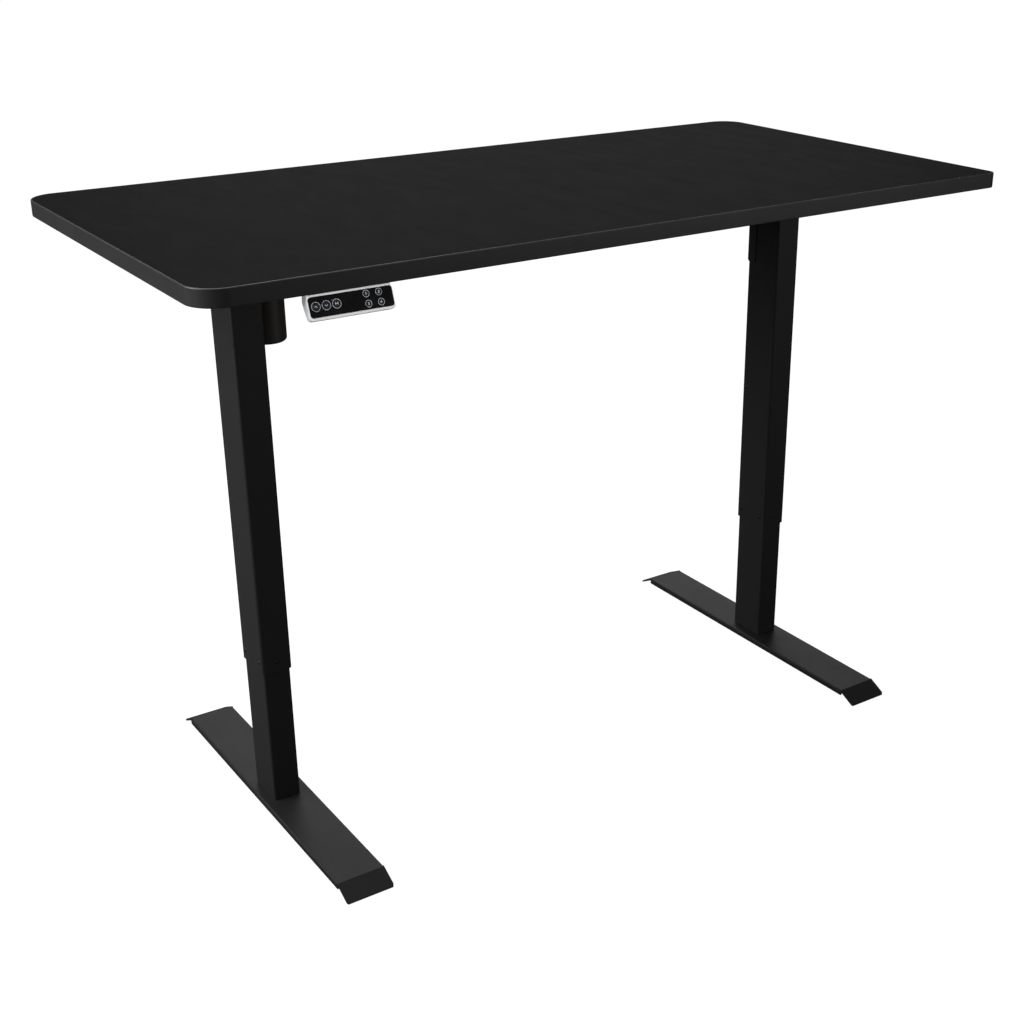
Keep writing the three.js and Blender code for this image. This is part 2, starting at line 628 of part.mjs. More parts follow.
function makeControlBox() {
  const top = UNDERSIDE - GAP;
  const lidBottom = top - LID_THICKNESS;
  const caseTop = lidBottom - GAP;
  const bottom = top - BOX_HEIGHT;
  const shell = rise(roundedRectangle(BOX_LENGTH, BOX_DEPTH, BOX_ROUND), bottom, caseTop);
  const insideLength = BOX_LENGTH - 2 * BOX_WALL;
  const insideDepth = BOX_DEPTH - 2 * BOX_WALL;
  const cavity = rise(
    roundedRectangle(insideLength, insideDepth, BOX_ROUND - BOX_WALL),
    bottom + BOX_WALL,
    caseTop + 1,
  );
  const inletHole = box(29, 3 * BOX_WALL, 21, [INLET_OFFSET, BOX_DEPTH / 2, bottom + INLET_HEIGHT]);
  const shellGeometry = cut(shell, [cavity, inletHole]).translate(BOX_X, BOX_Y, 0);
  addPart("control_box_case", shellGeometry, "blackPlastic");

  const lid = rise(roundedRectangle(BOX_LENGTH + 32, BOX_DEPTH - 20, 8), lidBottom, top);
  addPart("control_box_lid", lid.translate(BOX_X, BOX_Y, 0), "steel");

  const inlet = new THREE.Group();
  inlet.position.set(BOX_X + INLET_OFFSET, BOX_Y + BOX_DEPTH / 2, bottom + INLET_HEIGHT);
  desk.add(inlet);
  const flange = box(34, 2, 25, [0, GAP + 1, 0]);
  const body = box(28, 18, 20, [0, -7.5, 0]);
  const recess = box(23, 18, 15, [0, -5, 0]);
  const pins = [[-6, -2], [0, 2.5], [6, -2]].map(([x, z]) => box(1.6, 10, 4, [x, -10, z]));
  const socket = join([cut(join([flange, body]), [recess]), ...pins]);
  addPart("mains_inlet", socket, "blackPlastic", inlet);
}

// ---------------------------------------------------------------- handset

// The housing in the face's own frame, tapering from its thick upper edge to its thin lower one,
// with its top carried up to the desktop.
function handsetHousing(face, top) {
  const half = HANDSET_FACE / 2;
  const [deepBelow, deepAbove] = HANDSET_DEEP;
  const deep = (z) => deepBelow + ((deepAbove - deepBelow) * (z + half)) / HANDSET_FACE;
  const layers = [
    [HANDSET_LIP, () => 0],
    [HANDSET_LIP * 0.3, () => HANDSET_LIP * 0.3],
    [0, () => HANDSET_LIP],
    [0, (z) => deep(z) - 2],
    [1.6, deep],
  ];
  const points = [];
  for (const [inset, depthAt] of layers) {
    const width = HANDSET_WIDTH - 2 * inset;
    const outline = roundedRectangle(width, HANDSET_FACE - 2 * inset, HANDSET_ROUND - inset);
    for (const { x, y } of outline.getPoints(4)) {
      points.push(new THREE.Vector3(x, depthAt(y), y).applyMatrix4(face.matrixWorld));
    }
  }
  const seat = roundedRectangle(HANDSET_WIDTH - 3, deepAbove - 1.5, 3).getPoints(3);
  for (const { x, y } of seat) {
    points.push(new THREE.Vector3(GLASS_MIDDLE + x, HANDSET_FRONT + deepAbove / 2 + y, top));
  }
  return new ConvexGeometry(points);
}

// The handset's own frame: x along the glass, y into the housing, z up the face, origin mid-face.
function makeHandset() {
  const tilt = THREE.MathUtils.degToRad(HANDSET_TILT);
  const faceTop = UNDERSIDE - 2;
  const face = new THREE.Group();
  const middleY = HANDSET_FRONT - (HANDSET_FACE / 2) * Math.sin(tilt);
  const middleZ = faceTop - (HANDSET_FACE / 2) * Math.cos(tilt);
  face.position.set(GLASS_MIDDLE, middleY, middleZ);
  face.rotation.x = -tilt;
  desk.add(face);
  face.updateMatrixWorld(true);

  const top = UNDERSIDE - GAP;
  const housing = handsetHousing(face, top);
  const tongueFront = HANDSET_FRONT + 4;
  const tongueLength = HANDSET_FRONT + TONGUE_DEPTH - tongueFront;
  const tongue = plate(TONGUE_WIDTH, tongueLength, 6, top - TONGUE_THICKNESS, TONGUE_THICKNESS);
  tongue.translate(GLASS_MIDDLE, tongueFront + tongueLength / 2, 0);

  const glassMiddle = (HANDSET_FACE - GLASS_HEIGHT) / 2 - GLASS_TOP;
  const glassBack = GLASS_THICKNESS - GLASS_PROUD;
  const pocketShape = roundedRectangle(GLASS_WIDTH + 2 * GAP, GLASS_HEIGHT + 2 * GAP, GLASS_ROUND + GAP);
  const pocket = outwards(pocketShape, -(glassBack + GAP), HANDSET_WELL);
  const ledge = 0.6;
  const wellShape = roundedRectangle(GLASS_WIDTH - 2 * ledge, GLASS_HEIGHT - 2 * ledge, 2);
  const well = outwards(wellShape, -HANDSET_WELL, 1);
  const tools = [pocket, well].map((tool) => {
    return tool.translate(0, 0, glassMiddle).applyMatrix4(face.matrixWorld);
  });
  addPart("handset_body", cut(join([housing, tongue]), tools), "whitePlastic");

  const keys = [
    ...["up", "down", "memory"].map((name, i) => [name, LARGE_KEYS[i], LARGE_KEY_ROW, LARGE_KEY]),
    ...["preset_1", "preset_2"].map((name, i) => [name, UPPER_KEYS[i], UPPER_ROW, SMALL_KEY]),
    ...["preset_3", "preset_4"].map((name, i) => [name, LOWER_KEYS[i], LOWER_ROW, SMALL_KEY]),
  ];
  const holes = [];
  for (const [name, fromLeft, height, radius] of keys) {
    const place = (solid) => solid.translate(fromLeft - GLASS_WIDTH / 2, 0, glassMiddle + height);
    holes.push(place(outwards(circle(radius + KEY_GAP), -HANDSET_WELL, HANDSET_WELL, 8)));
    const key = place(outwards(circle(radius), -KEY_DEPTH, GLASS_PROUD + KEY_PROUD, 8));
    addPart(`handset_${name}_key`, key, "glass", face);
  }
  const paneShape = roundedRectangle(GLASS_WIDTH, GLASS_HEIGHT, GLASS_ROUND);
  const pane = outwards(paneShape, -glassBack, GLASS_PROUD, 4).translate(0, 0, glassMiddle);
  addPart("handset_glass", cut(pane, holes), "glass", face);
}

// An outline in the plane of the handset's face, pushed out of the face from one depth to another.
function outwards(shape, from, to, curveSegments = 5) {
  return rise(shape, from, to, curveSegments).rotateX(Math.PI / 2);
}

// ---------------------------------------------------------------- leads

// A lead through a list of points, with flat ends.
function lead(points, radius) {
  const places = points.map((point) => new THREE.Vector3(...point));
  const path = new THREE.CatmullRomCurve3(places, false, "centripetal");
  const steps = Math.ceil(path.getLength() / (5 * radius));
  return new THREE.ExtrudeGeometry(circle(radius), { steps, curveSegments: 4, extrudePath: path });
}

// The straight run of a lead across the underside of a rail, through the clip at its middle.
function runUnderRail([x, y, z]) {
  return [-RAIL_WIDTH / 2, 0, RAIL_WIDTH / 2].map((along) => [x, y + along, z]);
}

// A clip that hangs a lead from the underside of a rail.
function leadClip(at) {
  const top = UNDERSIDE - 2 * GAP - RAIL_HEIGHT;
  const loop = ring(LEAD_RADIUS + 2 * GAP, LEAD_RADIUS + 2, -4, 4, 16).rotateX(Math.PI / 2);
  const tabDepth = 2;
  const tab = box(20, 8, tabDepth, [6, 0, top - at[2] - tabDepth / 2]);
  const stem = box(3, 8, top - at[2] - LEAD_RADIUS - 1, [0, 0, (top - at[2] + LEAD_RADIUS + 1) / 2]);
  return join([loop, tab, stem]).translate(...at);
}

function makeLeads() {
  const caseFace = MOTOR_X + GEAR_CASE_X / 2 + LEAD_END;
  const boxLeft = BOX_X - BOX_LENGTH / 2 - LEAD_END;
  const boxFront = BOX_Y - BOX_DEPTH / 2 - LEAD_END;
  const boxEntry = UNDERSIDE - BOX_HEIGHT + 10;
  const underRail = UNDERSIDE - RAIL_HEIGHT - LEAD_DROP;
  const rearRail = COLUMN_Y + RAIL_OFFSET;
  const frontRail = COLUMN_Y - RAIL_OFFSET;

  const motorClip = [-392, rearRail, underRail];
  const motorLead = lead([
    [caseFace, 30, 893],
    [caseFace + 14, 30, 893],
    [-404, 44, 898],
    ...runUnderRail(motorClip),
    [-376, 134, 905],
    [boxLeft - 16, 155, boxEntry],
    [boxLeft, 155, boxEntry],
  ], LEAD_RADIUS);
  addPart("motor_lead", motorLead, "rubber");

  const handsetClip = [-392, frontRail, underRail];
  const handsetBack = HANDSET_FRONT + 16 + LEAD_END;
  const underTongue = UNDERSIDE - LEAD_DROP - 3;
  const handsetLead = lead([
    [-460, handsetBack, underTongue],
    [-460, handsetBack + 12, underTongue],
    [-456, -290, underTongue],
    [-438, -230, UNDERSIDE - LEAD_DROP],
    [-402, -160, 914],
    ...runUnderRail(handsetClip),
    [-378, -56, 914],
    [-352, COLUMN_Y, 919],
    [-322, 34, 910],
    [-304, rearRail - RAIL_WIDTH / 2, underRail - 1],
    [-294, rearRail + RAIL_WIDTH / 2, underRail],
    [-292, boxFront - 8, boxEntry],
    [-292, boxFront, boxEntry],
  ], LEAD_RADIUS);
  addPart("handset_lead", handsetLead, "rubber");

  addPart("rear_lead_clip", leadClip(motorClip), "blackPlastic");
  addPart("front_lead_clip", leadClip(handsetClip), "blackPlastic");
}

makeDesktop();
for (const [side, sign] of [["left", -1], ["right", 1]]) {
  makeFoot(side, sign * FOOT_X);
  makeColumn(side, sign * COLUMN_X, -sign);
  makeSideBracket(side, sign * COLUMN_X);
}
makeRail("front", COLUMN_Y - RAIL_OFFSET);
makeRail("rear", COLUMN_Y + RAIL_OFFSET);
makeDrive();
makeMotor();
makeColumnGuard();
makeControlBox();
makeHandset();
makeLeads();

const outline = new THREE.Box3().setFromObject(desk);
desk.position.y = -(outline.min.y + outline.max.y) / 2;

export default desk;
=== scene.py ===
"""Looks of the height adjustable standing desk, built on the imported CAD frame. Metres, Z up."""

import json
import math

import bmesh
import bpy
from mathutils import Matrix, Vector

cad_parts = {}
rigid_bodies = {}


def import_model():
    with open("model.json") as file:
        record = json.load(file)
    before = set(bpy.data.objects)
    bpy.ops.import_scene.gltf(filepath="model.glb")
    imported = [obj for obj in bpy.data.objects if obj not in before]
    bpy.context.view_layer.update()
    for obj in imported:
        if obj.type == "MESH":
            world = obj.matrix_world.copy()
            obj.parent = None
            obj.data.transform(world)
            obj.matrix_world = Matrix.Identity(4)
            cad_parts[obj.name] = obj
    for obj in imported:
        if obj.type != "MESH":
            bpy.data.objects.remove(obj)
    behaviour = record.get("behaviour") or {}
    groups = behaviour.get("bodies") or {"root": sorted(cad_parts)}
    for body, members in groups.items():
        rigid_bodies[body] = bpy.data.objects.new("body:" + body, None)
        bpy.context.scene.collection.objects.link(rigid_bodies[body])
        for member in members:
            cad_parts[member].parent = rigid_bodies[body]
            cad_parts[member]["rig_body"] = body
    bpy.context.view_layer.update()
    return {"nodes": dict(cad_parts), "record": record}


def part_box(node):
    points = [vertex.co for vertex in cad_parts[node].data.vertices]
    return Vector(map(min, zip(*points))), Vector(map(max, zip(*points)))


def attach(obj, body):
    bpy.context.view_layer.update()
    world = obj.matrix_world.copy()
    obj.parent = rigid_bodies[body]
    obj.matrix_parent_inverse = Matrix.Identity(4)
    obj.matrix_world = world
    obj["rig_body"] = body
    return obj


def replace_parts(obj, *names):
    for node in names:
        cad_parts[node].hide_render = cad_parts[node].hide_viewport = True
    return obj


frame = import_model()
scene = bpy.context.scene
SCREW_STEPS = 24


# ---------------------------------------------------------------- materials


def new_material(name):
    """An empty node material: its tree, its Principled shader and its object coordinates."""
    made = bpy.data.materials.new(name)
    made.use_nodes = True
    tree = made.node_tree
    shader = tree.nodes["Principled BSDF"]
    place = tree.nodes.new("ShaderNodeTexCoord").outputs["Object"]
    return made, tree, shader, place


def stretched(tree, place, scale):
    mapping = tree.nodes.new("ShaderNodeMapping")
    mapping.inputs["Scale"].default_value = scale
    tree.links.new(place, mapping.inputs["Vector"])
    return mapping.outputs["Vector"]


def noise(tree, place, scale, detail=2.0, roughness=0.5):
    node = tree.nodes.new("ShaderNodeTexNoise")
    node.inputs["Scale"].default_value = scale
    node.inputs["Detail"].default_value = detail
    node.inputs["Roughness"].default_value = roughness
    tree.links.new(place, node.inputs["Vector"])
    return node.outputs["Fac"]


def cells(tree, place, scale):
    node = tree.nodes.new("ShaderNodeTexVoronoi")
    node.feature = "SMOOTH_F1"
    node.inputs["Scale"].default_value = scale
    tree.links.new(place, node.inputs["Vector"])
    return node.outputs["Distance"]


def spread(tree, value, low, high, from_low=0.3, from_high=0.7):
    """The value moved from one range to another, held inside it."""
    node = tree.nodes.new("ShaderNodeMapRange")
    node.inputs["From Min"].default_value = from_low
    node.inputs["From Max"].default_value = from_high
    node.inputs["To Min"].default_value = low
    node.inputs["To Max"].default_value = high
    tree.links.new(value, node.inputs["Value"])
    return node.outputs["Result"]


def mixed(tree, factor, first, second):
    """A colour between two others. Each is a socket or an RGB triple."""
    node = tree.nodes.new("ShaderNodeMix")
    node.data_type = "RGBA"
    tree.links.new(factor, node.inputs["Factor"])
    for socket, colour in ((node.inputs[6], first), (node.inputs[7], second)):
        if isinstance(colour, tuple):
            socket.default_value = (*colour, 1.0)
        else:
            tree.links.new(colour, socket)
    return node.outputs[2]


def added(tree, first, second, share):
    """first plus share times second."""
    node = tree.nodes.new("ShaderNodeMath")
    node.operation = "MULTIPLY_ADD"
    tree.links.new(second, node.inputs[0])
    node.inputs[1].default_value = share
    tree.links.new(first, node.inputs[2])
    return node.outputs["Value"]


def bumped(tree, shader, height, depth):
    node = tree.nodes.new("ShaderNodeBump")
    node.inputs["Distance"].default_value = depth
    node.inputs["Strength"].default_value = 1.0
    tree.links.new(height, node.inputs["Height"])
    tree.links.new(node.outputs["Normal"], shader.inputs["Normal"])


def shade(colour, factor):
    return tuple(c * factor for c in colour)


def coated(
    name,
    colour,
    roughness,
    grain,
    depth,
    metallic=0.0,
    contrast=0.22,
    edge_wear_and_highlight=1.6,
    specular=0.5,
    cloud=9.0,
    pebble=0.0,
):
    """Paint, powder coat, laminate or plastic: cloudy colour, fine texture and paler edges, partly worn
    and partly a painted highlight.
    """
    made, tree, shader, place = new_material(name)
    blotches = noise(tree, place, cloud, 4.0, 0.6)
    fine = noise(tree, place, grain, 3.0, 0.55)
    if pebble:
        fine = added(tree, fine, cells(tree, place, grain * 0.8), pebble)
    body = mixed(
        tree,
        spread(tree, blotches, 0.0, 1.0),
        shade(colour, 1.0 - contrast),
        shade(colour, 1.0 + contrast),
    )
    specks = mixed(tree, spread(tree, fine, 0.0, 0.5, 0.45, 0.75), body, shade(colour, 1.5))
    # Sharp edges, found from pointiness, get a paler colour: partly wear, partly a painted highlight
    # along the edges.
    pointed = tree.nodes.new("ShaderNodeNewGeometry").outputs["Pointiness"]
    edge = spread(tree, pointed, 0.0, 0.6, 0.515, 0.58)
    tree.links.new(mixed(tree, edge, specks, shade(colour, edge_wear_and_highlight)), shader.inputs["Base Color"])
    smears = noise(tree, stretched(tree, place, (1.0, 0.35, 1.0)), 26.0, 3.0, 0.6)
    tree.links.new(
        spread(tree, smears, roughness * 0.96, min(1.0, roughness * 1.04)),
        shader.inputs["Roughness"],
    )
    shader.inputs["Metallic"].default_value = metallic
    shader.inputs["Specular IOR Level"].default_value = specular
    bumped(tree, shader, fine, depth)
    return made


def machined(name, colour, roughness, stretch):
    """Turned or ground metal: fine lines along the tool's path, with a thin uneven film of oil."""
    made, tree, shader, place = new_material(name)
    lines = noise(tree, stretched(tree, place, stretch), 260.0, 4.0, 0.7)
    film = noise(tree, place, 38.0, 4.0, 0.6)
    body = mixed(tree, spread(tree, film, 0.0, 1.0), shade(colour, 0.72), colour)
    tree.links.new(
        mixed(tree, spread(tree, lines, 0.0, 0.4), body, shade(colour, 0.55)),
        shader.inputs["Base Color"],
    )
    tree.links.new(spread(tree, lines, roughness * 0.7, roughness * 1.5), shader.inputs["Roughness"])
    shader.inputs["Metallic"].default_value = 1.0
    bumped(tree, shader, lines, 0.00002)
    return made


def glossy(name, colour, roughness, dust=0.12):
    """Smooth glass or moulded gloss plastic with a faint haze of dust and finger marks."""
    made, tree, shader, place = new_material(name)
    haze = noise(tree, place, 55.0, 5.0, 0.65)
    tree.links.new(
        mixed(tree, spread(tree, haze, 0.0, 1.0), colour, shade(colour, 1.0 + dust)),
        shader.inputs["Base Color"],
    )
    tree.links.new(spread(tree, haze, roughness, roughness * 1.9), shader.inputs["Roughness"])
    bumped(tree, shader, noise(tree, place, 900.0), 0.000004)
    return made


looks = {
    "desktop_laminate": coated(
        "desktop_laminate",
        (0.0048, 0.0046, 0.0048),
        0.6,
        1500.0,
        0.00004,
        pebble=0.8,
        edge_wear_and_highlight=1.3,
        contrast=0.1,
        specular=0.01,
    ),
    # The edge band's strong edge lightening paints a highlight line along its rounded edges.
    "edge_band": coated(
        "edge_band", (0.031, 0.0304, 0.031), 0.33, 900.0, 0.00002, edge_wear_and_highlight=3.4, contrast=0.1
    ),
    "black_powder_coat": coated(
        "black_powder_coat",
        (0.0125, 0.0125, 0.0126),
        0.5,
        1100.0,
        0.00005,
        pebble=0.5,
        contrast=0.12,
        specular=0.38,
    ),
    "motor_paint": coated("motor_paint", (0.034, 0.0297, 0.024), 0.42, 700.0, 0.00002),
    "cast_alloy": coated(
        "cast_alloy", (0.03, 0.03, 0.031), 0.6, 420.0, 0.0001, metallic=0.25, pebble=0.4
    ),
    "bronze": machined("bronze", (0.55, 0.36, 0.16), 0.26, (3.0, 1.0, 1.0)),
    "bright_steel": machined("bright_steel", (0.55, 0.56, 0.57), 0.24, (0.2, 1.0, 1.0)),
    "handset_shell": coated(
        "handset_shell", (0.86, 0.86, 0.87), 0.42, 1300.0, 0.00002, contrast=0.03, edge_wear_and_highlight=1.1
    ),
    "handset_glass": glossy("handset_glass", (0.0075, 0.0075, 0.008), 0.09),
    "handset_key": glossy("handset_key", (0.012, 0.012, 0.013), 0.16),
    "lead_jacket": coated("lead_jacket", (0.012, 0.012, 0.012), 0.62, 800.0, 0.00004),
    "pad_rubber": coated("pad_rubber", (0.02, 0.02, 0.02), 0.75, 600.0, 0.0001, contrast=0.35),
    "bearing_plastic": coated("bearing_plastic", (0.03, 0.03, 0.03), 0.45, 500.0, 0.00003),
    "black_plastic": coated(
        "black_plastic", (0.009, 0.009, 0.009), 0.5, 850.0, 0.00006, pebble=0.9
    ),
}
key_print = coated("key_print", (0.6, 0.66, 0.72), 0.5, 1500.0, 0.00001, edge_wear_and_highlight=1.0)
black_zinc = machined("black_zinc", (0.06, 0.06, 0.062), 0.38, (1.0, 1.0, 1.0))

slot_of = {row["node"]: row["material_slot"] for row in frame["record"]["subparts"]}
for node, shown in frame["nodes"].items():
    shown.data.materials.clear()
    shown.data.materials.append(looks[slot_of[node]])
    for face in shown.data.polygons:
        face.use_smooth = True
    shown.data.set_sharp_from_angle(angle=math.radians(35))


# ---------------------------------------------------------------- mesh tools


def made_of(name, mesh, body, material):
    """A new piece that rides on a CAD body."""
    piece = bpy.data.objects.new(name, mesh)
    scene.collection.objects.link(piece)
    mesh.materials.clear()
    mesh.materials.append(material)
    for face in mesh.polygons:
        face.use_smooth = True
    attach(piece, body)
    return piece


def body_of(node):
    return frame["nodes"][node]["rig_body"]


def rounded(piece, width, segments=2, sharp=50.0, least_bend=32.0):
    """Breaks the sharp edges of a piece by a small radius and keeps its large faces flat to the eye."""
    if width:
        bevel = piece.modifiers.new("edges", "BEVEL")
        bevel.width = width
        bevel.segments = segments
        bevel.limit_method = "ANGLE"
        bevel.angle_limit = math.radians(least_bend)
        bevel.miter_outer = "MITER_ARC"
        bevel.use_clamp_overlap = True
    graph = bpy.context.evaluated_depsgraph_get()
    mesh = bpy.data.meshes.new_from_object(piece.evaluated_get(graph))
    piece.modifiers.clear()
    piece.data = mesh
    for face in mesh.polygons:
        face.use_smooth = True
    mesh.set_sharp_from_angle(angle=math.radians(sharp))
    weighted = piece.modifiers.new("normals", "WEIGHTED_NORMAL")
    weighted.keep_sharp = True
    graph = bpy.context.evaluated_depsgraph_get()
    mesh = bpy.data.meshes.new_from_object(piece.evaluated_get(graph))
    piece.modifiers.clear()
    piece.data = mesh
    return piece


def refined(node, width, segments=2, sharp=50.0, least_bend=32.0):
    """The CAD node's own shape with its edges broken, standing for the node."""
    mesh = frame["nodes"][node].data.copy()
    shape = bmesh.new()
    shape.from_mesh(mesh)
    bmesh.ops.remove_doubles(shape, verts=shape.verts, dist=0.000002)
    bmesh.ops.dissolve_limit(
        shape, angle_limit=math.radians(0.5), verts=shape.verts, edges=shape.edges
    )
    shape.to_mesh(mesh)
    shape.free()
    slot = slot_of[node]
    piece = made_of(f"{node}_finished", mesh, body_of(node), looks[slot])
    rounded(piece, width, segments, sharp, least_bend)
    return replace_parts(piece, node)


def skinned(loops, ring=False):
    """A closed mesh through loops with equal numbers of points."""
    shape = bmesh.new()
    rows = [[shape.verts.new(point) for point in loop] for loop in loops]
    pairs = list(zip(rows, rows[1:]))
    if ring:
        pairs.append((rows[-1], rows[0]))
    else:
        shape.faces.new(rows[0])
        shape.faces.new(rows[-1])
    for low, high in pairs:
        for i in range(len(low)):
            j = (i + 1) % len(low)
            shape.faces.new((low[i], low[j], high[j], high[i]))
    bmesh.ops.recalc_face_normals(shape, faces=shape.faces)
    mesh = bpy.data.meshes.new("skin")
    shape.to_mesh(mesh)
    shape.free()
    return mesh


def desktop_plan(inset, z, steps=16):
    """The desktop's outline moved inwards by an inset, at height z."""
    lo, hi = band_lo, band_hi
    corners = (
        (hi.x, hi.y, -1, -1, corner),
        (lo.x, hi.y, 1, -1, corner),
        (lo.x, lo.y, 1, 1, corner),
        (hi.x, lo.y, -1, 1, tight_corner),
    )
    loop = []
    for quarter, (x, y, inwards_x, inwards_y, radius) in enumerate(corners):
        middle = Vector((x + inwards_x * radius, y + inwards_y * radius, z))
        for step in range(steps + 1):
            angle = math.radians(90 * (quarter + step / steps))
            loop.append(middle + Vector((math.cos(angle), math.sin(angle), 0)) * (radius - inset))
    return loop


def circle(radius, z, steps):
    turns = [2 * math.pi * i / steps for i in range(steps)]
    return [Vector((radius * math.cos(a), radius * math.sin(a), z)) for a in turns]


def turned(profile, steps=96):
    """A closed lathe shape about Z from (radius, height) points, flat at both ends."""
    return skinned([circle(radius, z, steps) for radius, z in profile])


def hexagon(across, z):
    """A hexagon with as many points as the loops of a screw head."""
    loop = []
    for i in range(SCREW_STEPS):
        angle = 2 * math.pi * i / SCREW_STEPS
        bend = (angle + math.pi / 6) % (math.pi / 3) - math.pi / 6
        radius = across / 2 / math.cos(bend)
        loop.append(Vector((radius * math.cos(angle), radius * math.sin(angle), z)))
    return loop


def pan_head(radius):
    """A low round screw head with a hexagon socket, standing on z = 0."""
    height = 0.62 * radius
    dome = [(radius * 0.97, 0.0), (radius, height * 0.3), (radius * 0.94, height * 0.62)]
    dome += [(radius * 0.8, height * 0.88), (radius * 0.62, height)]
    loops = [circle(r, z, SCREW_STEPS) for r, z in dome]
    loops += [hexagon(radius * 0.92, height), hexagon(radius * 0.88, height * 0.92)]
    loops += [hexagon(radius * 0.86, height * 0.25)]
    return skinned(loops)


def rivet_head(radius):
    """A blind rivet's domed head with the dimple its mandrel leaves."""
    height = 0.36 * radius
    profile = [(radius, 0.0), (radius * 0.98, height * 0.3), (radius * 0.85, height * 0.68)]
    profile += [(radius * 0.62, height * 0.94), (radius * 0.42, height), (radius * 0.34, height * 0.9)]
    profile += [(radius * 0.3, height * 0.3)]
    return skinned([circle(r, z, SCREW_STEPS) for r, z in profile])


def joined(meshes):
    shape = bmesh.new()
    for mesh in meshes:
        shape.from_mesh(mesh)
    whole = bpy.data.meshes.new("joined")
    shape.to_mesh(whole)
    shape.free()
    return whole


def set_in_place(mesh, point, direction):
    """Moves a mesh made on z = 0 to a point, with its Z along a direction."""
    turn = Vector(direction).to_track_quat("Z", "Y").to_matrix().to_4x4()
    mesh.transform(Matrix.Translation(point) @ turn)
    return mesh


def fasteners(name, body, head, radius, places, direction):
    """One piece that holds a row of equal screw or rivet heads."""
    heads = [set_in_place(head(radius), Vector(point), direction) for point in places]
    piece = made_of(name, joined(heads), body, black_zinc)
    piece.data.set_sharp_from_angle(angle=math.radians(40))
    return piece


# ---------------------------------------------------------------- desktop

band_lo, band_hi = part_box("desktop_edge_band")
board_lo, board_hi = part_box("desktop_board")
corner = 0.045
tight_corner = 0.015
band_round = 0.0015
band_thickness = 0.0019
board_inset = board_lo.x - band_lo.x


def make_desktop():
    edge = 0.0002
    low, high = board_lo.z, board_hi.z
    steps = [(edge, low), (0.0, low + edge), (0.0, high - edge), (edge * 0.3, high - edge * 0.3)]
    steps += [(edge, high)]
    loops = [desktop_plan(board_inset + i, z) for i, z in steps]
    board = made_of(
        "desktop_board_finished",
        skinned(loops),
        "top",
        looks["desktop_laminate"],
    )
    rounded(board, 0, sharp=60)
    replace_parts(board, "desktop_board")

    section = [(band_thickness, band_lo.z + 0.0002)]
    for side, z, start in ((0, band_lo.z + band_round, 270), (1, band_hi.z - band_round, 0)):
        for step in range(9):
            angle = math.radians(start + 90 * step / 8)
            inset = band_round * (1 - math.cos(angle))
            section.append((min(inset, band_thickness * 0.94), z + band_round * math.sin(angle)))
    section.append((band_thickness, band_hi.z - 0.0002))
    loops = [desktop_plan(i, z) for i, z in section]
    band = made_of(
        "desktop_edge_band_finished",
        skinned(loops, ring=True),
        "top",
        looks["edge_band"],
    )
    rounded(band, 0, sharp=60)
    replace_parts(band, "desktop_edge_band")


# ---------------------------------------------------------------- columns and feet


def make_column(side):
    for node in ("outer_tube", "inner_tube", "column_plate"):
        refined(f"{side}_{node}", 0.0003)
    refined(f"{side}_foot", 0.0005, least_bend=20)
    refined(f"{side}_lower_glide", 0.0001)
    refined(f"{side}_lift_nut", 0.0008)
    lo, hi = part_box(f"{side}_outer_tube")
    middle = (lo + hi) / 2
    z = lo.z + 0.0172
    for face, x, way in (("left", lo.x, -1), ("right", hi.x, 1)):
        places = [(x - way * 0.0001, middle.y + reach, z) for reach in (-0.026, 0.026)]
        fasteners(f"{side}_column_{face}_rivets", "top", rivet_head, 0.0033, places, (way, 0, 0))
    for face, y, way in (("front", lo.y, -1), ("back", hi.y, 1)):
        places = [(middle.x, y - way * 0.0001, z)]
        fasteners(f"{side}_column_{face}_rivet", "top", rivet_head, 0.0033, places, (0, way, 0))

    plate_lo, plate_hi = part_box(f"{side}_column_plate")
    places = [
        (x, y, plate_lo.z + 0.0001)
        for x in (plate_lo.x + 0.011, plate_hi.x - 0.011)
        for y in (plate_lo.y + 0.012, plate_hi.y - 0.012)
    ]
    fasteners(f"{side}_column_plate_screws", "base", pan_head, 0.0048, places, (0, 0, -1))


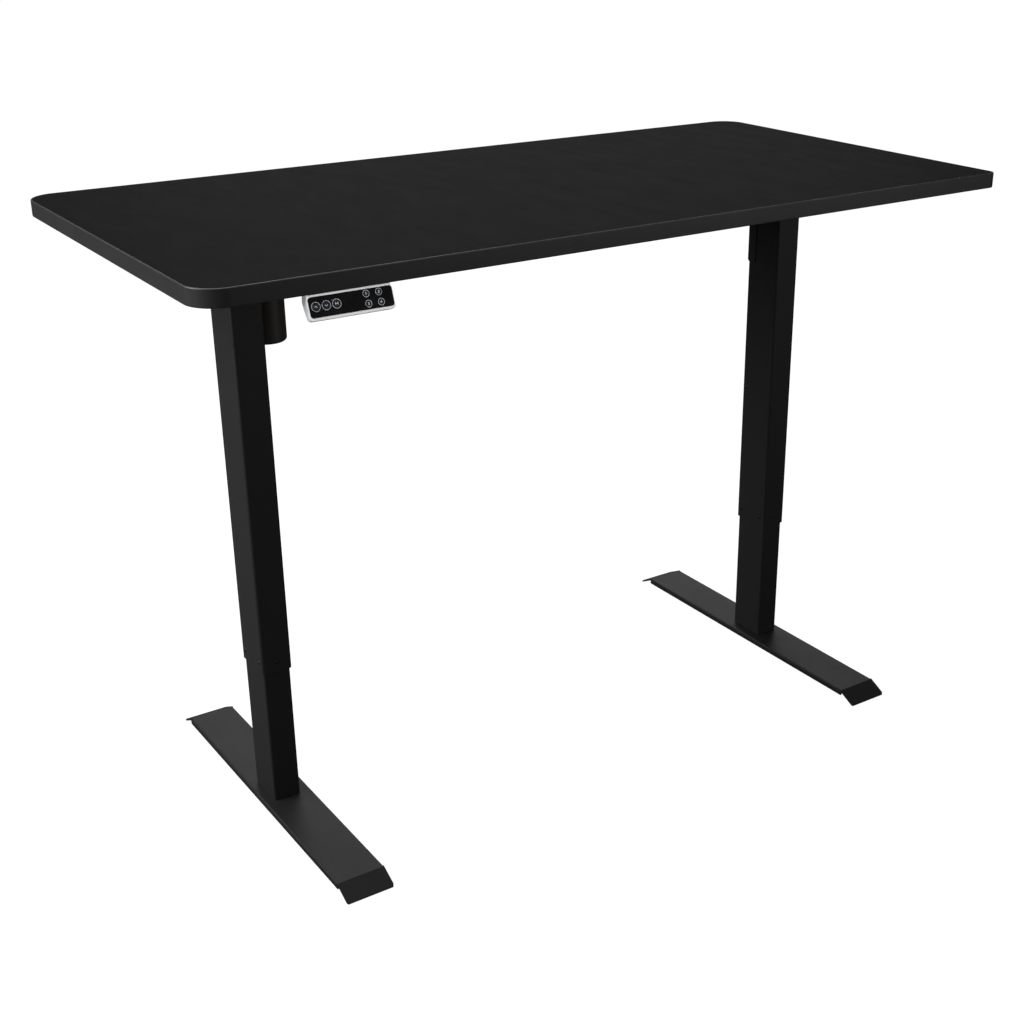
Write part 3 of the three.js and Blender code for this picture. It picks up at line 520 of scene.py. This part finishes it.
def make_levelling_pad(node):
    """Ribbed rubber pad with a threaded stud."""
    lo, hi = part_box(node)
    middle = (lo + hi) / 2
    radius = (hi.x - lo.x) / 2
    top = lo.z + 0.007
    profile = [(radius * 0.7, lo.z + 0.0006), (radius * 0.74, lo.z), (radius * 0.94, lo.z)]
    profile += [(radius, lo.z + 0.0012), (radius, lo.z + 0.0035), (radius * 0.9, lo.z + 0.0048)]
    profile += [(radius * 0.72, top - 0.0003), (radius * 0.66, top), (0.0041, top)]
    pad = turned(profile, 64)
    ribs = []
    for i in range(18):
        angle = 2 * math.pi * i / 18
        rib = bmesh.new()
        bmesh.ops.create_cube(rib, size=1.0)
        bmesh.ops.scale(rib, vec=(0.0022, 0.0009, 0.0016), verts=rib.verts)
        bmesh.ops.bevel(
            rib, geom=rib.edges[:], offset=0.0002, segments=1, affect="EDGES", profile=0.5
        )
        mesh = bpy.data.meshes.new("rib")
        rib.to_mesh(mesh)
        rib.free()
        around = Matrix.Rotation(angle, 4, "Z")
        mesh.transform(around @ Matrix.Translation((radius * 0.84, 0, lo.z + 0.0052)))
        ribs.append(mesh)
    mesh = joined([pad] + ribs)
    mesh.transform(Matrix.Translation((middle.x, middle.y, 0)))
    piece = made_of(f"{node}_finished", mesh, body_of(node), looks["pad_rubber"])
    piece.data.set_sharp_from_angle(angle=math.radians(50))
    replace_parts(piece, node)

    pitch = 0.00125
    outer, root = 0.004, 0.0034
    turns = int((hi.z - top) / pitch)
    profile = [(root, top - 0.0005)]
    for i in range(turns):
        z = top + i * pitch
        profile += [(root, z + pitch * 0.1), (outer, z + pitch * 0.45), (outer, z + pitch * 0.55)]
        profile += [(root, z + pitch * 0.9)]
    profile += [(root * 0.8, hi.z)]
    stud = turned(profile, 32)
    stud.transform(Matrix.Translation((middle.x, middle.y, 0)))
    piece = made_of(f"{node}_stud", stud, body_of(node), looks["bright_steel"])
    piece.data.set_sharp_from_angle(angle=math.radians(50))


# ---------------------------------------------------------------- drive


def make_motor():
    lo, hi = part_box("motor_can")
    middle = (lo + hi) / 2
    radius = (hi.x - lo.x) / 2
    bottom, top = lo.z, hi.z
    boss = bottom + 0.0012
    profile = [(0.006, bottom + 0.0004), (0.0066, bottom + 0.0008)]
    profile += [(0.0072, bottom), (0.0092, bottom), (0.0098, boss), (radius - 0.0062, boss)]
    profile += [(radius - 0.0056, bottom + 0.0002)]
    rim = 0.005
    for step in range(9):
        angle = math.radians(90 * step / 8)
        profile.append((radius - rim * (1 - math.sin(angle)), bottom + rim * (1 - math.cos(angle))))
    groove = top - 0.011
    profile += [(radius, groove - 0.0016), (radius - 0.0006, groove - 0.001)]
    profile += [(radius - 0.0006, groove), (radius, groove + 0.0006), (radius, top - 0.0004)]
    profile += [(radius - 0.0004, top)]
    can = turned(profile, 128)
    can.transform(Matrix.Translation((middle.x, middle.y, 0)))
    piece = made_of("motor_can_finished", can, "top", looks["motor_paint"])
    rounded(piece, 0, sharp=40)
    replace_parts(piece, "motor_can")

    places = [(middle.x + way * 0.0165, middle.y, boss + 0.0001) for way in (-1, 1)]
    fasteners("motor_end_screws", "top", pan_head, 0.0026, places, (0, 0, -1))
    refined("motor_end_plate", 0.0004)
    refined("motor_gear_case", 0.0005)
    refined("motor_gear_cover", 0.0005)


def make_housing(side):
    refined(f"{side}_gear_housing", 0.0006)
    refined(f"{side}_gear_cover", 0.0005)
    lo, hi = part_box(f"{side}_gear_housing")
    for face, y, way in (("front", lo.y, -1), ("back", hi.y, 1)):
        places = [
            (x, y - way * 0.0001, z)
            for x in (lo.x + 0.01, hi.x - 0.01)
            for z in (lo.z + 0.009, lo.z + 0.034)
        ]
        fasteners(f"{side}_housing_{face}_screws", "top", pan_head, 0.0036, places, (0, way, 0))


# ---------------------------------------------------------------- frame under the desktop


BRACKET_SHEET = 0.003
BRACKET_SCREWS = (0.16, 0.245)  # to the front and to the back of the bracket's middle
RAIL_SCREWS = (0.062, 0.462)  # to the left and to the right of the desk's middle


def make_frame():
    for side in ("left", "right"):
        refined(f"{side}_side_bracket", 0.0005)
        lo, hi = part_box(f"{side}_side_bracket")
        middle = (lo + hi) / 2
        under = hi.z - BRACKET_SHEET + 0.0001
        places = [
            (middle.x, middle.y + way * reach, under) for way in (-1, 1) for reach in BRACKET_SCREWS
        ]
        fasteners(f"{side}_bracket_screws", "top", pan_head, 0.005, places, (0, 0, -1))
    for end in ("front", "rear"):
        refined(f"{end}_rail", 0.0003)
        lo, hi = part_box(f"{end}_rail")
        middle = (lo + hi) / 2
        places = [(way * x, middle.y, lo.z + 0.0001) for way in (-1, 1) for x in RAIL_SCREWS]
        fasteners(f"{end}_rail_screws", "top", pan_head, 0.0048, places, (0, 0, -1))
    refined("right_column_guard", 0.0003, segments=3)


def make_control_box():
    refined("control_box_case", 0.0009, segments=3)
    refined("control_box_lid", 0.0004)
    refined("mains_inlet", 0.0004)
    lo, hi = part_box("control_box_lid")
    middle = (lo + hi) / 2
    places = [
        (x, y, lo.z + 0.0001)
        for x in (lo.x + 0.008, hi.x - 0.008)
        for y in (middle.y - 0.024, middle.y + 0.024)
    ]
    fasteners("control_box_mounting_screws", "top", pan_head, 0.0042, places, (0, 0, -1))
    lo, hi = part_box("control_box_case")
    places = [
        (x, y, lo.z + 0.0001)
        for x in (lo.x + 0.012, hi.x - 0.012)
        for y in (lo.y + 0.012, hi.y - 0.012)
    ]
    fasteners("control_box_case_screws", "top", pan_head, 0.003, places, (0, 0, -1))


# ---------------------------------------------------------------- leads


def strain_relief(name, exit_point, direction, length=0.016):
    """A short ribbed sleeve where a lead enters a housing."""
    start, end = 0.0046, 0.0031
    profile = [(0.0058, 0.0), (0.0058, 0.0012), (start, 0.0018)]
    ribs = 5
    for i in range(ribs):
        low = 0.002 + (length - 0.002) * i / ribs
        high = 0.002 + (length - 0.002) * (i + 1) / ribs
        radius = start + (end - start) * i / ribs
        profile += [(radius, low + 0.0002), (radius, high - 0.0011), (radius - 0.0007, high - 0.0008)]
        profile += [(radius - 0.0007, high)]
    profile += [(0.0027, length)]
    mesh = set_in_place(turned(profile, 40), Vector(exit_point), direction)
    piece = made_of(name, mesh, "top", looks["lead_jacket"])
    rounded(piece, 0, sharp=40)
    return piece


# Where the leads' middles leave each housing.
MOTOR_EXIT = (0.03, 0.893)  # Y from the middle of the desktop, and Z
BOX_SIDE_EXIT = (0.155, 0.906)
BOX_FRONT_EXIT = (-0.292, 0.906)  # X and Z
HANDSET_EXIT = (-0.46, 0.922)


def make_leads():
    for node in ("handset_lead", "motor_lead"):
        refined(node, 0, sharp=60)
    for node in ("front_lead_clip", "rear_lead_clip"):
        refined(node, 0.0004)
    desk_shift = (band_lo.y + band_hi.y) / 2
    handset_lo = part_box("handset_lead")[0]
    case_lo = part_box("control_box_case")[0]
    gear_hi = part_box("motor_gear_case")[1]
    y, z = MOTOR_EXIT
    strain_relief("motor_lead_motor_relief", (gear_hi.x, y + desk_shift, z), (1, 0, 0))
    y, z = BOX_SIDE_EXIT
    strain_relief("motor_lead_box_relief", (case_lo.x, y + desk_shift, z), (-1, 0, 0))
    x, z = BOX_FRONT_EXIT
    strain_relief("handset_lead_box_relief", (x, case_lo.y, z), (0, -1, 0))
    x, z = HANDSET_EXIT
    strain_relief("handset_lead_handset_relief", (x, handset_lo.y - 0.0005, z), (0, 1, 0), 0.012)


# ---------------------------------------------------------------- handset

FACE_TILT = math.radians(20)
OUT = Vector((0, -math.cos(FACE_TILT), math.sin(FACE_TILT)))


def on_face(mesh, centre):
    """Lays a mesh drawn in XY, raised along Z, on the handset's face at a point."""
    turn = Matrix.Rotation(math.radians(90) - FACE_TILT, 4, "X")
    mesh.transform(Matrix.Translation(centre) @ turn)
    return mesh


def stroke(points, width, height):
    """A raised line of even width with mitred corners and flat ends."""
    half = width / 2
    left, right = [], []
    places = [Vector(point) for point in points]
    for i, place in enumerate(places):
        back = (place - places[i - 1]).normalized() if i else None
        ahead = (places[i + 1] - place).normalized() if i + 1 < len(places) else None
        along = ((back or ahead) + (ahead or back)).normalized()
        across = Vector((-along.y, along.x))
        reach = half / max(0.35, across.dot(Vector((-(back or ahead).y, (back or ahead).x))))
        left.append(place + across * reach)
        right.append(place - across * reach)
    outline = left + right[::-1]
    loops = [[Vector((p.x, p.y, z)) for p in outline] for z in (0.0, height)]
    return skinned(loops)


def arc(x, y, radius, start, end, steps=8):
    turns = [math.radians(start + (end - start) * i / steps) for i in range(steps + 1)]
    return [(x + radius * math.cos(a), y + radius * math.sin(a)) for a in turns]


def ring_mark(radius, width, height):
    inner = radius - width
    loops = [circle(r, z, 64) for r, z in ((inner, 0), (radius, 0), (radius, height), (inner, height))]
    return skinned(loops, ring=True)


KEY_FRONT = 0.00158  # the key's face in front of the middle of its box
STROKE_WIDTH = 0.00065
RING_WIDTH = 0.00045
RING_INSET = 0.0003
MARK_HEIGHT = 0.00006

# Lines drawn on each key, in millimetres from its middle.
KEY_MARKS = {
    "up": [[(-1.9, -0.8), (0.0, 1.0), (1.9, -0.8)]],
    "down": [[(-1.9, 0.8), (0.0, -1.0), (1.9, 0.8)]],
    "memory": [[(-1.7, -1.4), (-1.7, 1.4), (0.0, -0.3), (1.7, 1.4), (1.7, -1.4)]],
    "preset_1": [[(-0.7, 0.8), (0.1, 1.5), (0.1, -1.5)]],
    "preset_2": [arc(0.0, 0.6, 0.9, 160, -40, 8) + [(-0.9, -1.4), (1.0, -1.4)]],
    "preset_3": [arc(-0.1, 0.7, 0.75, 150, -90, 8), arc(-0.1, -0.75, 0.75, 90, -150, 8)],
    "preset_4": [[(0.4, -1.5), (0.4, 1.5), (-1.1, -0.6), (1.1, -0.6)]],
}


def make_handset():
    refined("handset_body", 0.0003, sharp=60)
    refined("handset_glass", 0.00015)
    for key, marks in KEY_MARKS.items():
        node = f"handset_{key}_key"
        refined(node, 0.0002)
        lo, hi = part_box(node)
        radius = (hi.x - lo.x) / 2
        front = (lo + hi) / 2 + OUT * KEY_FRONT
        lines = []
        for line in marks:
            points = [(x * 0.001, y * 0.001) for x, y in line]
            lines.append(stroke(points, STROKE_WIDTH, MARK_HEIGHT))
        lines.append(ring_mark(radius - RING_INSET, RING_WIDTH, MARK_HEIGHT))
        mesh = on_face(joined(lines), front)
        mark = made_of(f"{node}_mark", mesh, body_of(node), key_print)
        mark.data.set_sharp_from_angle(angle=math.radians(40))

    lo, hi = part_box("handset_body")
    places = [((lo.x + hi.x) / 2 + way * 0.036, hi.y - 0.011, hi.z - 0.0024) for way in (-1, 1)]
    fasteners("handset_mounting_screws", "top", pan_head, 0.0036, places, (0, 0, -1))

    lo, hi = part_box("handset_memory_key")
    centre = (lo + hi) / 2 + OUT * 0.00108
    up_the_face = Vector((0, math.sin(FACE_TILT), math.cos(FACE_TILT)))
    dot = turned([(0.0006, 0.0), (0.00055, 0.00006), (0.0003, 0.0001)], 24)
    on_face(dot, centre + Vector((-0.0051, 0, 0)) + up_the_face * 0.0051)
    made_of("handset_status_light", dot, "top", key_print)


# ---------------------------------------------------------------- build

make_desktop()
for side in ("left", "right"):
    make_column(side)
    make_housing(side)
    for end in ("front", "back"):
        make_levelling_pad(f"{side}_{end}_levelling_pad")
make_motor()
make_frame()
make_control_box()
make_leads()
make_handset()


# ---------------------------------------------------------------- studio

def area_light(name, place, target, width, height, power):
    light = bpy.data.lights.new(name, "AREA")
    light.shape = "RECTANGLE"
    light.size = width
    light.size_y = height
    light.energy = power
    lamp = bpy.data.objects.new(name, light)
    lamp.location = place
    lamp.rotation_euler = (Vector(target) - Vector(place)).to_track_quat("-Z", "Y").to_euler()
    scene.collection.objects.link(lamp)
    return lamp


def only_lights(lamp, names):
    """Links a lamp to the pieces whose names start in one of these ways, so that it lights no others."""
    lit = bpy.data.collections.new(f"{lamp.name}_receivers")
    for piece in scene.objects:
        if piece.name.startswith(names):
            lit.objects.link(piece)
    lamp.light_linking.receiver_collection = lit


def camera_only(tree, seen, otherwise):
    """Mixes two shaders, the first for what the camera sees and the second for the light it gives."""
    path = tree.nodes.new("ShaderNodeLightPath")
    mix = tree.nodes.new("ShaderNodeMixShader")
    tree.links.new(path.outputs["Is Camera Ray"], mix.inputs["Fac"])
    tree.links.new(otherwise, mix.inputs[1])
    tree.links.new(seen, mix.inputs[2])
    return mix.outputs["Shader"]


def make_world():
    world = bpy.data.worlds.new("studio")
    world.use_nodes = True
    tree = world.node_tree
    tree.nodes.clear()
    seen = tree.nodes.new("ShaderNodeBackground")
    seen.inputs["Color"].default_value = (1, 1, 1, 1)
    seen.inputs["Strength"].default_value = 1.0
    dim = tree.nodes.new("ShaderNodeBackground")
    dim.inputs["Color"].default_value = (1, 1, 1, 1)
    dim.inputs["Strength"].default_value = 0.06
    output = tree.nodes.new("ShaderNodeOutputWorld")
    tree.links.new(
        camera_only(tree, seen.outputs[0], dim.outputs[0]), output.inputs["Surface"]
    )
    scene.world = world


def make_floor():
    shape = bmesh.new()
    bmesh.ops.create_grid(shape, x_segments=8, y_segments=8, size=14.0)
    mesh = bpy.data.meshes.new("studio_floor")
    shape.to_mesh(mesh)
    shape.free()
    floor = bpy.data.objects.new("studio_floor", mesh)
    scene.collection.objects.link(floor)
    made = bpy.data.materials.new("studio_floor")
    made.use_nodes = True
    tree = made.node_tree
    tree.nodes.clear()
    glow = tree.nodes.new("ShaderNodeEmission")
    glow.inputs["Strength"].default_value = 1.13
    paper = tree.nodes.new("ShaderNodeBsdfDiffuse")
    paper.inputs["Color"].default_value = (0.9, 0.9, 0.9, 1)
    seen = tree.nodes.new("ShaderNodeMixShader")
    seen.inputs["Fac"].default_value = 0.12
    tree.links.new(glow.outputs[0], seen.inputs[1])
    tree.links.new(paper.outputs[0], seen.inputs[2])
    dim = tree.nodes.new("ShaderNodeBsdfDiffuse")
    dim.inputs["Color"].default_value = (0.08, 0.08, 0.08, 1)
    output = tree.nodes.new("ShaderNodeOutputMaterial")
    tree.links.new(camera_only(tree, seen.outputs[0], dim.outputs[0]), output.inputs["Surface"])
    mesh.materials.append(made)
    floor.location.z = -0.0006


def make_camera():
    data = bpy.data.cameras.new("camera")
    data.lens = 53.52
    data.sensor_width = 36.0
    data.shift_x = -0.0733
    data.shift_y = -0.0020
    data.clip_start = 0.05
    data.clip_end = 60.0
    camera = bpy.data.objects.new("camera", data)
    camera.location = (-1.3259, -2.0544, 1.4181)
    camera.rotation_euler = [math.radians(a) for a in (67.238, -0.161, -34.836)]
    scene.collection.objects.link(camera)
    scene.camera = camera


make_world()
make_floor()
area_light("key_from_the_left", (-3.0, 0.5, 2.2), (0, 0.1, 0.5), 2.6, 2.4, 126)
area_light("overhead", (-0.3, 0.5, 3.2), (-0.1, 0.1, 0.4), 2.8, 2.0, 46)
area_light("front_fill", (2.4, -3.9, 1.3), (0, 0, 0.7), 3.0, 2.0, 25)
area_light("high_back", (2.6, 4.0, 3.0), (0.3, 0, 0.1), 4.6, 1.7, 50)
handset_light = area_light("handset_light", (-1.3, -1.9, 1.1), (-0.5, -0.36, 0.905), 0.9, 0.7, 16)
only_lights(
    handset_light,
    ("handset_body", "handset_up", "handset_down", "handset_memory", "handset_preset"),
)
make_camera()
scene.view_settings.view_transform = "Standard"
